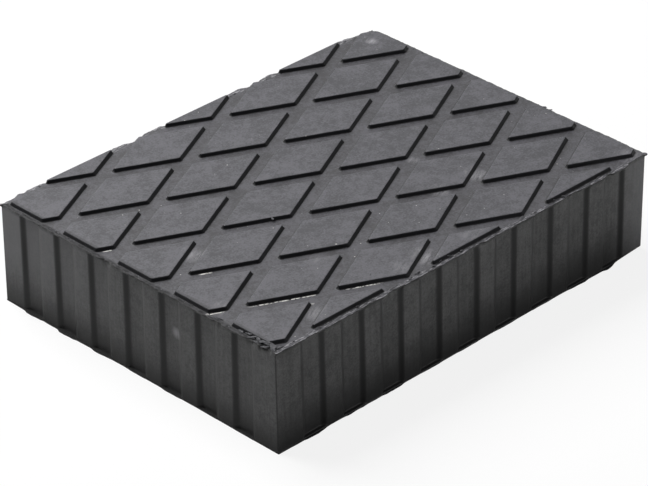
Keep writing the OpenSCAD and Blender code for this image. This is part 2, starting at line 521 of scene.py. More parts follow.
def flute_tree():
    """Presses the flutes into the walls of a blank, leaves the rims and draws out the flash at the sole."""
    tree, given, result = new_tree("Press flutes", {
        "Long pitch": "NodeSocketFloat", "Short pitch": "NodeSocketFloat",
        "Long mouth": "NodeSocketFloat", "Short mouth": "NodeSocketFloat",
        "Long count": "NodeSocketInt", "Short count": "NodeSocketInt",
        "Flank": "NodeSocketFloat", "Depth": "NodeSocketFloat", "Rim": "NodeSocketFloat",
        "Wall height": "NodeSocketFloat", "Flute lip": "NodeSocketFloat", "Rib lip": "NodeSocketFloat",
        "Waviness": "NodeSocketFloat", "Seed": "NodeSocketInt", "Material": "NodeSocketMaterial",
    })
    take = given.outputs
    place = add(tree, "ShaderNodeSeparateXYZ", {0: add(tree, "GeometryNodeInputPosition")})
    outward = add(tree, "GeometryNodeInputNamedAttribute", {"Name": "outward"}, data_type="FLOAT_VECTOR")
    direction = add(tree, "ShaderNodeSeparateXYZ", {0: outward})

    # Which side a point is on decides the pitch and the coordinate along the side
    steepness = add(tree, "ShaderNodeMath", {0: direction.outputs["Y"]}, operation="ABSOLUTE")
    on_long = add(tree, "FunctionNodeCompare", {"A": steepness, "B": 0.7}, operation="GREATER_THAN")
    along = add(tree, "GeometryNodeSwitch", {0: on_long, 1: place.outputs["Y"], 2: place.outputs["X"]},
                input_type="FLOAT")
    pitch = add(tree, "GeometryNodeSwitch", {0: on_long, 1: take["Short pitch"], 2: take["Long pitch"]},
                input_type="FLOAT")
    mouth = add(tree, "GeometryNodeSwitch", {0: on_long, 1: take["Short mouth"], 2: take["Long mouth"]},
                input_type="FLOAT")
    count = add(tree, "GeometryNodeSwitch", {0: on_long, 1: take["Short count"], 2: take["Long count"]},
                input_type="INT")

    # Distance across from the middle of the nearest flute, shifted by half a pitch for an even count
    half_pitch = add(tree, "ShaderNodeMath", {0: pitch, 1: 0.5}, operation="MULTIPLY")
    back_half = add(tree, "ShaderNodeMath", {0: pitch, 1: -0.5}, operation="MULTIPLY")
    count_less_one = add(tree, "ShaderNodeMath", {0: count, 1: 1.0}, operation="SUBTRACT")
    shifted = add(tree, "ShaderNodeMath", {0: half_pitch, 1: count_less_one, 2: along},
                  operation="MULTIPLY_ADD")
    folded = add(tree, "ShaderNodeMath", {0: shifted, 1: half_pitch, 2: back_half}, operation="WRAP")
    across = add(tree, "ShaderNodeMath", {0: folded}, operation="ABSOLUTE")

    # Share of the full depth: 0 on a rib, 1 on a flute's floor, with a straight flank and soft edges
    half_mouth = add(tree, "ShaderNodeMath", {0: mouth, 1: 0.5}, operation="MULTIPLY")
    inside = add(tree, "ShaderNodeMath", {0: half_mouth, 1: across}, operation="SUBTRACT")
    slope = add(tree, "ShaderNodeMath", {0: inside, 1: take["Flank"]}, operation="DIVIDE")
    floored = add(tree, "ShaderNodeMath", {0: slope, 1: 1.0, 2: 0.4}, operation="SMOOTH_MIN")
    softened = add(tree, "ShaderNodeMath", {0: floored, 1: 0.0, 2: 0.4}, operation="SMOOTH_MAX")
    reach = add(tree, "ShaderNodeMath", {0: half_pitch, 1: count}, operation="MULTIPLY")
    from_middle = add(tree, "ShaderNodeMath", {0: along}, operation="ABSOLUTE")
    in_run = add(tree, "ShaderNodeMath", {0: from_middle, 1: reach}, operation="LESS_THAN")
    share = add(tree, "ShaderNodeMath", {0: softened, 1: in_run}, operation="MULTIPLY")

    # The rims: no flute within the rim thickness of the sole and of the top
    past_rim = add(tree, "ShaderNodeMath", {0: take["Rim"], 1: FLUTE_END}, operation="ADD")
    low_rim = add(tree, "ShaderNodeMapRange", {0: place.outputs["Z"], 1: take["Rim"], 2: past_rim},
                  interpolation_type="SMOOTHSTEP")
    from_top = add(tree, "ShaderNodeMath", {0: take["Wall height"], 1: place.outputs["Z"]},
                   operation="SUBTRACT")
    high_rim = add(tree, "ShaderNodeMapRange", {0: from_top, 1: take["Rim"], 2: past_rim},
                   interpolation_type="SMOOTHSTEP")
    open_share = add(tree, "ShaderNodeMath", {0: low_rim, 1: high_rim}, operation="MULTIPLY")
    groove = add(tree, "ShaderNodeMath", {0: share, 1: open_share}, operation="MULTIPLY")
    sunk = add(tree, "ShaderNodeMath", {0: groove, 1: take["Depth"]}, operation="MULTIPLY")

    # Flash at the sole: a thin lip, longer at the flutes, uneven along the wall
    uneven = add(tree, "ShaderNodeTexNoise",
                 {"W": take["Seed"], "Scale": 45.0, "Detail": 4.0, "Roughness": 0.6},
                 noise_dimensions="4D")
    uneven_share = add(tree, "ShaderNodeMapRange", {0: uneven.outputs[0], 1: 0.35, 2: 0.62, 3: 0.1, 4: 1.15})
    lip_reach = add(tree, "ShaderNodeMapRange", {0: share, 3: take["Rib lip"], 4: take["Flute lip"]})
    lip_height = add(tree, "ShaderNodeMapRange",
                     {0: place.outputs["Z"], 1: 0.0, 2: 0.36 * MM, 3: 1.0, 4: 0.0},
                     interpolation_type="SMOOTHSTEP")
    lip_part = add(tree, "ShaderNodeMath", {0: lip_reach, 1: lip_height}, operation="MULTIPLY")
    # It was trimmed short near the middle of the long sides and at the front end of the short ones
    from_centre = add(tree, "ShaderNodeMath", {0: along, 1: 11.0 * MM}, operation="SUBTRACT")
    aside = add(tree, "ShaderNodeMath", {0: from_centre}, operation="ABSOLUTE")
    long_left = add(tree, "ShaderNodeMapRange", {0: aside, 1: 30.0 * MM, 2: 48.0 * MM, 3: 0.35, 4: 1.0})
    short_left = add(tree, "ShaderNodeMapRange", {0: along, 1: -25.0 * MM, 2: 25.0 * MM, 3: 0.2, 4: 1.0})
    left_on = add(tree, "GeometryNodeSwitch", {0: on_long, 1: short_left, 2: long_left}, input_type="FLOAT")
    trimmed = add(tree, "ShaderNodeMath", {0: uneven_share, 1: left_on}, operation="MULTIPLY")
    lip = add(tree, "ShaderNodeMath", {0: lip_part, 1: trimmed}, operation="MULTIPLY")

    # Slow waves of a wall that shrank a little unevenly as it cooled
    wave = add(tree, "ShaderNodeTexNoise", {"W": take["Seed"], "Scale": 22.0, "Detail": 1.0},
               noise_dimensions="4D")
    wave_signed = add(tree, "ShaderNodeMapRange", {0: wave.outputs[0], 3: -1.0, 4: 1.0})
    wave_reach = add(tree, "ShaderNodeMath", {0: wave_signed, 1: take["Waviness"]}, operation="MULTIPLY")

    shaped = add(tree, "ShaderNodeMath", {0: lip, 1: sunk}, operation="SUBTRACT")
    total = add(tree, "ShaderNodeMath", {0: shaped, 1: wave_reach}, operation="ADD")
    move = add(tree, "ShaderNodeVectorMath", {0: outward, "Scale": total}, operation="SCALE")
    marked = add(tree, "GeometryNodeStoreNamedAttribute",
                 {"Geometry": take["Geometry"], "Name": "groove", "Value": groove},
                 data_type="FLOAT", domain="POINT")
    moved = add(tree, "GeometryNodeSetPosition", {"Geometry": marked, "Offset": move})
    smooth = add(tree, "GeometryNodeSetShadeSmooth", {"Geometry": moved})
    real = add(tree, "GeometryNodeRealizeInstances", {"Geometry": smooth})
    painted = add(tree, "GeometryNodeSetMaterial", {"Geometry": real, "Material": take["Material"]})
    tree.links.new(painted.outputs[0], result.inputs[0])
    return tree


def lug_reach(sizes):
    """Half the length and half the width of a lug's top, measured to its unblunted corners."""
    angle = math.atan2(sizes.diamond_width, sizes.diamond_length)
    across = sizes.diamond_width * math.cos(angle) - sizes.channel
    return across / math.sin(angle) / 2, across / math.cos(angle) / 2


def diamond(sizes, centre):
    """The outline of a lug's top: four corners, each with the draft of the wall that leaves it."""
    half_length, half_width = lug_reach(sizes)
    tips = ((half_length, 0.0), (0.0, half_width), (-half_length, 0.0), (0.0, -half_width))
    return [(centre + Vector(tip), sizes.draft) for tip in tips]


def clipped(outline, normal, limit, draft):
    """The part of an outline behind a line. The new side along the line takes the draft that is given."""
    kept = []
    for i, (here, own) in enumerate(outline):
        after = outline[(i + 1) % len(outline)][0]
        start = here.dot(normal) - limit
        end = after.dot(normal) - limit
        if start <= 0:
            kept.append((here, own))
        if start * end < 0:
            kept.append((here.lerp(after, start / (start - end)), draft if start < 0 else own))
    return kept


def blunted(sizes, outline):
    """Cuts each sharp corner back to the width of the mould cutter, and gives every corner its radius."""
    corners = []
    for i, (here, draft) in enumerate(outline):
        before = outline[i - 1][0] - here
        after = outline[(i + 1) % len(outline)][0] - here
        half = before.angle(after) / 2
        if half > SHARP_HALF_ANGLE:
            corners.append((here, sizes.side_radius, draft))
            continue
        back = sizes.tip_width / 2 / math.sin(half)
        corners.append((here + before.normalized() * back, sizes.tip_radius, sizes.draft))
        corners.append((here + after.normalized() * back, sizes.tip_radius, draft))
    return corners


def lug_stack(sizes, outline, height):
    """The rings of one lug, from below the channel floor to its top."""
    corners = blunted(sizes, outline)
    plan = [(place, radius) for place, radius, _ in corners]
    profiles = [wall_profile(draft, sizes.edge_radius, height) for _, _, draft in corners]
    rings = []
    for levels in zip(*profiles):
        ring = rounded_ring(plan, [reach for reach, _ in levels])
        rings.append([(point.x, point.y, levels[0][1]) for point in ring])
    return rings


def wall_profile(draft, edge, height):
    """Reaches and heights up a leaning wall: from below the floor, over a foot fillet, to a soft top edge."""
    fillet = 0.15 * MM
    profile = [(draft + fillet, -LUG_ROOT), (draft + fillet, 0.0)]
    for k in range(1, 4):
        angle = math.pi / 2 * k / 4
        profile.append((draft + fillet * (1 - math.sin(angle)), fillet * (1 - math.cos(angle)) * 0.8))
    wall_foot = 0.35 * MM
    wall_top = height - edge
    profile.append((draft * (1 - wall_foot / height), wall_foot))
    profile.append((draft * edge / height, wall_top))
    for k in range(1, 5):
        angle = math.pi / 2 * k / 4
        profile.append((draft * edge / height * (1 - k / 4) - edge * (1 - math.cos(angle)),
                        wall_top + edge * math.sin(angle)))
    # The flat top starts just inside the rounded edge
    profile.append((-1.05 * edge, height))
    return profile


def whole_lug_reach(sizes):
    """How far from the middle, along and across, the centre of a lug may lie that no border line cuts."""
    half_length, half_width = lug_reach(sizes)
    along = CAD_LENGTH / 2 - sizes.margin - half_length
    across = CAD_WIDTH / 2 - max(sizes.back_margin, sizes.front_margin) - half_width
    return along, across


def border_lugs(sizes, height):
    """The lugs that a border line cuts or nearly cuts, each made to its own outline."""
    half_length, half_width = lug_reach(sizes)
    reach_along, reach_across = whole_lug_reach(sizes)
    end = CAD_LENGTH / 2 - sizes.margin
    back = CAD_WIDTH / 2 - sizes.back_margin
    front = CAD_WIDTH / 2 - sizes.front_margin
    # Each border line: the way it faces, how far it lies from the middle, and the draft of the walls along it
    lines = (
        (Vector((1, 0)), end, sizes.border_draft), (Vector((-1, 0)), end, sizes.border_draft),
        (Vector((0, 1)), back, sizes.back_draft), (Vector((0, -1)), front, sizes.border_draft),
        (Vector((1, 2)).normalized(), sizes.worn_corner, sizes.border_draft),
    )
    draw = random.Random(sizes.seed)
    columns = math.ceil(CAD_LENGTH / sizes.diamond_length) + 1
    rows = math.ceil(CAD_WIDTH / sizes.diamond_width) + 1
    lattice = [(i, j) for i in range(-columns, columns + 1) for j in range(-rows, rows + 1) if (i + j) % 2]
    stacks = []
    for i, j in lattice:
        centre = Vector((sizes.shift_x + i * sizes.diamond_length / 2,
                         sizes.shift_y + j * sizes.diamond_width / 2))
        whole = abs(centre.x) <= reach_along and abs(centre.y) <= reach_across
        too_far_along = abs(centre.x) > end + half_length - sizes.least_lug
        too_far_across = abs(centre.y) > back + half_width - sizes.least_lug
        if whole or too_far_along or too_far_across:
            continue
        outline = diamond(sizes, centre)
        for normal, limit, draft in lines:
            uneven = draw.uniform(-1, 1) * sizes.unevenness
            outline = clipped(outline, normal, limit + uneven, draft)
        stacks.append(lug_stack(sizes, outline, height))
    return loft("tread_lugs", stacks)


def tread_tree():
    """Sets a whole lug on every second place of a lattice, a little unevenly, and joins the border lugs."""
    tree, given, result = new_tree("Diamond tread", {
        "Lug": "NodeSocketObject",
        "Diamond length": "NodeSocketFloat", "Diamond width": "NodeSocketFloat",
        "Offset": "NodeSocketVector", "Reach": "NodeSocketVector", "Columns": "NodeSocketInt",
        "Rows": "NodeSocketInt", "Unevenness": "NodeSocketFloat", "Seed": "NodeSocketInt",
        "Material": "NodeSocketMaterial",
    })
    take = given.outputs
    half_x = add(tree, "ShaderNodeMath", {0: take["Diamond length"], 1: 0.5}, operation="MULTIPLY")
    half_y = add(tree, "ShaderNodeMath", {0: take["Diamond width"], 1: 0.5}, operation="MULTIPLY")
    steps_x = add(tree, "ShaderNodeMath", {0: take["Columns"], 1: 1.0}, operation="SUBTRACT")
    steps_y = add(tree, "ShaderNodeMath", {0: take["Rows"], 1: 1.0}, operation="SUBTRACT")
    size_x = add(tree, "ShaderNodeMath", {0: half_x, 1: steps_x}, operation="MULTIPLY")
    size_y = add(tree, "ShaderNodeMath", {0: half_y, 1: steps_y}, operation="MULTIPLY")
    grid = add(tree, "GeometryNodeMeshGrid", {
        "Size X": size_x, "Size Y": size_y, "Vertices X": take["Columns"], "Vertices Y": take["Rows"]})

    # A place holds a lug where its column and row numbers add up to an odd number
    place = add(tree, "ShaderNodeSeparateXYZ", {0: add(tree, "GeometryNodeInputPosition")})
    column = add(tree, "ShaderNodeMath", {0: place.outputs["X"], 1: half_x}, operation="DIVIDE")
    row = add(tree, "ShaderNodeMath", {0: place.outputs["Y"], 1: half_y}, operation="DIVIDE")
    both = add(tree, "ShaderNodeMath", {0: column, 1: row}, operation="ADD")
    whole = add(tree, "ShaderNodeMath", {0: both}, operation="ROUND")
    parity = add(tree, "ShaderNodeMath", {0: whole, 1: 2.0}, operation="FLOORED_MODULO")
    empty = add(tree, "ShaderNodeMath", {0: parity, 1: 0.5}, operation="LESS_THAN")

    # Past this reach a lug crosses a border line, so it is among the lugs that come joined already
    shifted = add(tree, "ShaderNodeVectorMath",
                  {0: add(tree, "GeometryNodeInputPosition"), 1: take["Offset"]},
                  operation="ADD")
    distance = add(tree, "ShaderNodeVectorMath", {0: shifted}, operation="ABSOLUTE")
    excess = add(tree, "ShaderNodeVectorMath", {0: distance, 1: take["Reach"]}, operation="SUBTRACT")
    excess_parts = add(tree, "ShaderNodeSeparateXYZ", {0: excess})
    worst = add(tree, "ShaderNodeMath", {0: excess_parts.outputs["X"], 1: excess_parts.outputs["Y"]},
                operation="MAXIMUM")
    outside = add(tree, "ShaderNodeMath", {0: worst, 1: 0.0}, operation="GREATER_THAN")
    unused = add(tree, "ShaderNodeMath", {0: empty, 1: outside}, operation="MAXIMUM")
    places = add(tree, "GeometryNodeDeleteGeometry", {"Geometry": grid.outputs["Mesh"], "Selection": unused},
                 domain="POINT")

    # No two lugs of a cut mould are quite alike
    drift_least = add(tree, "ShaderNodeMath", {0: take["Unevenness"], 1: -1.0}, operation="MULTIPLY")
    least = add(tree, "ShaderNodeCombineXYZ", {0: drift_least, 1: drift_least, 2: 0.0})
    most = add(tree, "ShaderNodeCombineXYZ", {0: take["Unevenness"], 1: take["Unevenness"], 2: 0.0})
    drift = add(tree, "FunctionNodeRandomValue", {0: least, 1: most, "Seed": take["Seed"]},
                data_type="FLOAT_VECTOR")
    start = add(tree, "ShaderNodeVectorMath", {0: drift, 1: take["Offset"]}, operation="ADD")
    settled = add(tree, "GeometryNodeSetPosition", {"Geometry": places, "Offset": start})
    turned = add(tree, "FunctionNodeRandomValue",
                 {0: (0.0, 0.0, -0.004), 1: (0.0, 0.0, 0.004), "Seed": take["Seed"]},
                 data_type="FLOAT_VECTOR")
    stretched = add(tree, "FunctionNodeRandomValue",
                    {0: (0.996, 0.996, 0.975), 1: (1.004, 1.004, 1.0), "Seed": take["Seed"]},
                    data_type="FLOAT_VECTOR")
    lug = add(tree, "GeometryNodeObjectInfo", {"Object": take["Lug"]})
    lugs = add(tree, "GeometryNodeInstanceOnPoints", {
        "Points": settled, "Instance": lug.outputs["Geometry"], "Rotation": turned, "Scale": stretched})
    real = add(tree, "GeometryNodeRealizeInstances", {"Geometry": lugs})
    joined = add(tree, "GeometryNodeJoinGeometry", {"Geometry": real})
    tree.links.new(take["Geometry"], joined.inputs["Geometry"])
    angle = add(tree, "GeometryNodeInputMeshEdgeAngle")
    sharp = add(tree, "ShaderNodeMath", {0: angle.outputs["Unsigned Angle"], 1: math.radians(32)},
                operation="GREATER_THAN")
    creased = add(tree, "GeometryNodeSetShadeSmooth",
                  {"Geometry": joined, "Selection": sharp, "Shade Smooth": False}, domain="EDGE")
    smooth = add(tree, "GeometryNodeSetShadeSmooth", {"Geometry": creased}, domain="FACE")
    painted = add(tree, "GeometryNodeSetMaterial", {"Geometry": smooth, "Material": take["Material"]})
    tree.links.new(painted.outputs[0], result.inputs[0])
    return tree


def tread_coordinates(tree, place):
    """Signed distances in mm from the middle of the nearest channel, one for each way the channels run."""
    sizes = bpy.context.scene.liftpad_tread
    angle = math.atan2(sizes.diamond_width, sizes.diamond_length)
    pitch = sizes.diamond_width * math.cos(angle) / MM
    centred = add(tree, "ShaderNodeVectorMath", {0: place, 1: (sizes.shift_x / MM, sizes.shift_y / MM, 0.0)},
                  operation="SUBTRACT")
    distances = []
    for direction in ((math.sin(angle), math.cos(angle), 0.0), (-math.sin(angle), math.cos(angle), 0.0)):
        run = add(tree, "ShaderNodeVectorMath", {0: centred, 1: direction}, operation="DOT_PRODUCT")
        distances.append(add(tree, "ShaderNodeMath", {0: run.outputs["Value"], 1: pitch / 2, 2: -pitch / 2},
                             operation="WRAP"))
    return distances


def near_marks(tree, place, marks, soft):
    """How strongly a point lies within any of the marks: each is a place in mm, a radius and a strength."""
    total = None
    for *centre, radius, strength in marks:
        away = add(tree, "ShaderNodeVectorMath", {0: place, 1: tuple(centre)}, operation="DISTANCE")
        share = add(tree, "ShaderNodeMapRange", {
            0: away.outputs["Value"], 1: radius * (1 - soft), 2: radius, 3: strength, 4: 0.0})
        total = share if total is None else add(tree, "ShaderNodeMath", {0: total, 1: share},
                                                operation="MAXIMUM")
    return total


def foot_residue(tree, point):
    """Where pale release powder lies: a broken line along the foot of the lug walls, on the channel floor."""
    sizes = bpy.context.scene.liftpad_tread
    foot = (sizes.channel / 2 - sizes.draft) / MM
    across = tread_coordinates(tree, point.place)
    lines = []
    for own, other in (across, reversed(across)):
        gap = add(tree, "ShaderNodeMath", {0: own, 1: foot - 0.1}, operation="SUBTRACT")
        near = add(tree, "ShaderNodeMath", {0: gap}, operation="ABSOLUTE")
        line = add(tree, "ShaderNodeMapRange", {0: near, 1: 0.3, 2: 0.6, 3: 1.0, 4: 0.0})
        # The line stops where another channel crosses
        aside = add(tree, "ShaderNodeMath", {0: other}, operation="ABSOLUTE")
        beside_lug = add(tree, "ShaderNodeMath", {0: aside, 1: foot + 0.6}, operation="GREATER_THAN")
        lines.append(add(tree, "ShaderNodeMath", {0: line, 1: beside_lug}, operation="MULTIPLY"))
    either = add(tree, "ShaderNodeMath", {0: lines[0], 1: lines[1]}, operation="MAXIMUM")
    marks = [(x, y, FLOOR_MM, radius, 1.0) for x, y, radius in POWDER_SPOTS]
    in_spot = near_marks(tree, point.place, marks, 0.5)
    crumbs = add(tree, "ShaderNodeTexNoise", {"Vector": point.place, "Scale": 0.9, "Detail": 2.0})
    crumbled = add(tree, "ShaderNodeMapRange", {0: crumbs.outputs[0], 1: 0.4, 2: 0.5})
    strength = add(tree, "ShaderNodeMath", {0: point.height, 1: FLOOR_MM + 0.3}, operation="LESS_THAN")
    for share in (either, in_spot, crumbled):
        strength = add(tree, "ShaderNodeMath", {0: strength, 1: share}, operation="MULTIPLY")
    return strength


def dust(tree, place):
    """Single grains of pale dust, up to 0.7 mm across and a few millimetres apart, in loose swarms."""
    cells = add(tree, "ShaderNodeTexVoronoi", {"Vector": place, "Scale": 0.3, "Randomness": 1.0},
                voronoi_dimensions="2D")
    sort = add(tree, "ShaderNodeSeparateColor", {0: cells.outputs["Color"]})
    swarm = add(tree, "ShaderNodeTexNoise", {"Vector": place, "Scale": 0.05, "Detail": 1.0})
    crowd = add(tree, "ShaderNodeMapRange", {0: swarm.outputs[0], 1: 0.46, 2: 0.66, 3: 0.03, 4: 0.11})
    radius = add(tree, "ShaderNodeMapRange", {0: sort.outputs[0], 1: 0.8, 2: 1.0, 3: 0.0, 4: crowd})
    inside = add(tree, "ShaderNodeMath", {0: radius, 1: cells.outputs["Distance"]}, operation="SUBTRACT")
    return add(tree, "ShaderNodeMapRange", {0: inside, 1: 0.0, 2: 0.03})


def scuffs(tree, place):
    """Pale scuffs on the tread, where something dusty was dragged over it: soft patches of 6 mm streaks."""
    turned = add(tree, "ShaderNodeMapping",
                 {"Vector": place, "Rotation": (0.0, 0.0, 0.46), "Scale": (6.0, 1.3, 3.0)},
                 vector_type="TEXTURE")
    streaks = add(tree, "ShaderNodeTexNoise",
                  {"Vector": turned, "Scale": 1.0, "Detail": 4.0, "Roughness": 0.7})
    streaky = add(tree, "ShaderNodeMapRange", {0: streaks.outputs[0], 1: 0.38, 2: 0.68})
    marks = [(x, y, TOP_MM - 0.5, radius, strength) for x, y, radius, strength in SCUFFS]
    return add(tree, "ShaderNodeMath", {0: near_marks(tree, place, marks, 0.9), 1: streaky},
               operation="MULTIPLY")


def surface_facts(tree):
    """What the material asks of a point: its place in mm, the way it faces and the part that it is on."""
    coordinates = add(tree, "ShaderNodeTexCoord")
    place = add(tree, "ShaderNodeVectorMath", {0: coordinates.outputs["Object"], "Scale": 1 / MM},
                operation="SCALE")
    parts = add(tree, "ShaderNodeSeparateXYZ", {0: place})
    height = parts.outputs["Z"]
    facing = add(tree, "ShaderNodeSeparateXYZ", {0: add(tree, "ShaderNodeNewGeometry").outputs["Normal"]})
    level = add(tree, "ShaderNodeMapRange", {0: facing.outputs["Z"], 1: 0.82, 2: 0.97},
                interpolation_type="SMOOTHSTEP")
    above_middle = add(tree, "ShaderNodeMath", {0: height, 1: TOP_MM / 2}, operation="GREATER_THAN")
    flat = add(tree, "ShaderNodeMath", {0: level, 1: above_middle}, operation="MULTIPLY")
    above_floor = add(tree, "ShaderNodeMath", {0: height, 1: FLOOR_MM + 0.05}, operation="GREATER_THAN")
    lug_top = add(tree, "ShaderNodeMath", {0: height, 1: TOP_MM - 0.4}, operation="GREATER_THAN")
    off_middle = add(tree, "ShaderNodeVectorMath", {0: place}, operation="ABSOLUTE")
    inset = add(tree, "ShaderNodeVectorMath", {0: (RIGHT_MM, BACK_MM, 0.0), 1: off_middle},
                operation="SUBTRACT")
    inset_parts = add(tree, "ShaderNodeSeparateXYZ", {0: inset})
    return SimpleNamespace(
        place=place, x=parts.outputs["X"], y=parts.outputs["Y"], height=height,
        inset_x=inset_parts.outputs["X"], inset_y=inset_parts.outputs["Y"],
        facing=facing.outputs, flat=flat, above_floor=above_floor, lug_top=lug_top,
    )


def bloom_noises(tree, point):
    """The noises behind the bloom: clouds of about 8 mm, mottling of 2.5 mm and grain of 0.6 mm.

    The grain of the real mould plate is finer than a pixel of the render, so it is drawn at 0.6 mm.
    """
    clouds = add(tree, "ShaderNodeTexNoise",
                 {"Vector": point.place, "Scale": 0.12, "Detail": 4.0, "Roughness": 0.6})
    mottle = add(tree, "ShaderNodeTexNoise",
                 {"Vector": point.place, "Scale": 0.4, "Detail": 3.0, "Roughness": 0.65})
    grain = add(tree, "ShaderNodeTexNoise", {"Vector": point.place, "Scale": 1.7, "Detail": 2.0})
    fine = add(tree, "ShaderNodeMix", {0: 0.55, 2: mottle.outputs[0], 3: grain.outputs[0]}, data_type="FLOAT")
    mixed = add(tree, "ShaderNodeMix", {0: 0.66, 2: clouds.outputs[0], 3: fine.outputs[0]}, data_type="FLOAT")
    return SimpleNamespace(clouds=clouds.outputs[0], mottle=mottle.outputs[0], grain=grain.outputs[0],
                           mixed=mixed.outputs[0])


def left_edge_shade(tree, point, noises):
    """Painted shade on the left edge: most on its ledge below the lug tops, and on those tops in part."""
    inward = add(tree, "ShaderNodeMath", {0: point.x, 1: RIGHT_MM}, operation="ADD")
    ragged = add(tree, "ShaderNodeMapRange", {0: noises.mottle, 1: 0.35, 2: 0.6, 3: 1.0, 4: 0.6})
    on_ledge = add(tree, "ShaderNodeMapRange", {0: inward, 1: 1.55, 2: 0.65})
    ledge_shade_share = add(tree, "ShaderNodeMath", {0: on_ledge, 1: ragged}, operation="MULTIPLY")
    top_edge_darkening = add(tree, "ShaderNodeMapRange", {0: inward, 1: 2.85, 2: 1.55, 3: 0.0, 4: 0.6})
    worn = add(tree, "ShaderNodeMix", {0: point.lug_top, 2: ledge_shade_share, 3: top_edge_darkening}, data_type="FLOAT")
    return worn.outputs[0]


def top_colour(tree, colours, point, noises, worn):
    """Colour of channel floors and lug tops under their bloom, with painted shade at the left edge and frayed
    edges.
    """
    # The corner towards -X and -Y has a little more bloom
    tilt = add(tree, "ShaderNodeVectorMath", {0: point.place, 1: (-0.00017, -0.00017, 0.0)},
               operation="DOT_PRODUCT")
    tilted = add(tree, "ShaderNodeMath", {0: noises.mixed, 1: tilt.outputs["Value"]}, operation="ADD")
    bloom = add(tree, "ShaderNodeMapRange", {0: tilted, 1: 0.425, 2: 0.575})
    floor = add(tree, "ShaderNodeMix", {0: bloom, 6: colours.floor_dark, 7: colours.floor_bloom},
                data_type="RGBA")
    lug = add(tree, "ShaderNodeMix", {0: bloom, 6: colours.top_dark, 7: colours.top_bloom}, data_type="RGBA")
    bloomed = add(tree, "ShaderNodeMix", {0: point.lug_top, 6: floor.outputs[2], 7: lug.outputs[2]},
                  data_type="RGBA")
    # Painted shade on the left ledge, and darker lug tops near it
    ledge = add(tree, "ShaderNodeMix", {0: worn, 6: bloomed.outputs[2], 7: colours.ledge}, data_type="RGBA")

    # Pale frayed skin below the lug tops near the long edges, in fibres of about 2 by 0.5 mm
    drawn_out = add(tree, "ShaderNodeMapping", {"Vector": point.place, "Scale": (0.45, 2.2, 0.5)})
    fibres = add(tree, "ShaderNodeTexNoise", {"Vector": drawn_out, "Scale": 1.0, "Detail": 2.0})
    frayed = add(tree, "ShaderNodeMapRange", {0: fibres.outputs[0], 1: 0.52, 2: 0.62, 3: 0.0, 4: 0.6})
    outer = add(tree, "ShaderNodeMapRange", {0: point.inset_y, 1: 1.2, 2: 0.7})
    below_tops = add(tree, "ShaderNodeMath", {0: 1.0, 1: point.lug_top}, operation="SUBTRACT")
    fray = add(tree, "ShaderNodeMath", {0: frayed, 1: outer}, operation="MULTIPLY")
    fray_below = add(tree, "ShaderNodeMath", {0: fray, 1: below_tops}, operation="MULTIPLY")
    colour = add(tree, "ShaderNodeMix", {0: fray_below, 6: ledge.outputs[2], 7: colours.scuff},
                 data_type="RGBA")
    return colour.outputs[2]


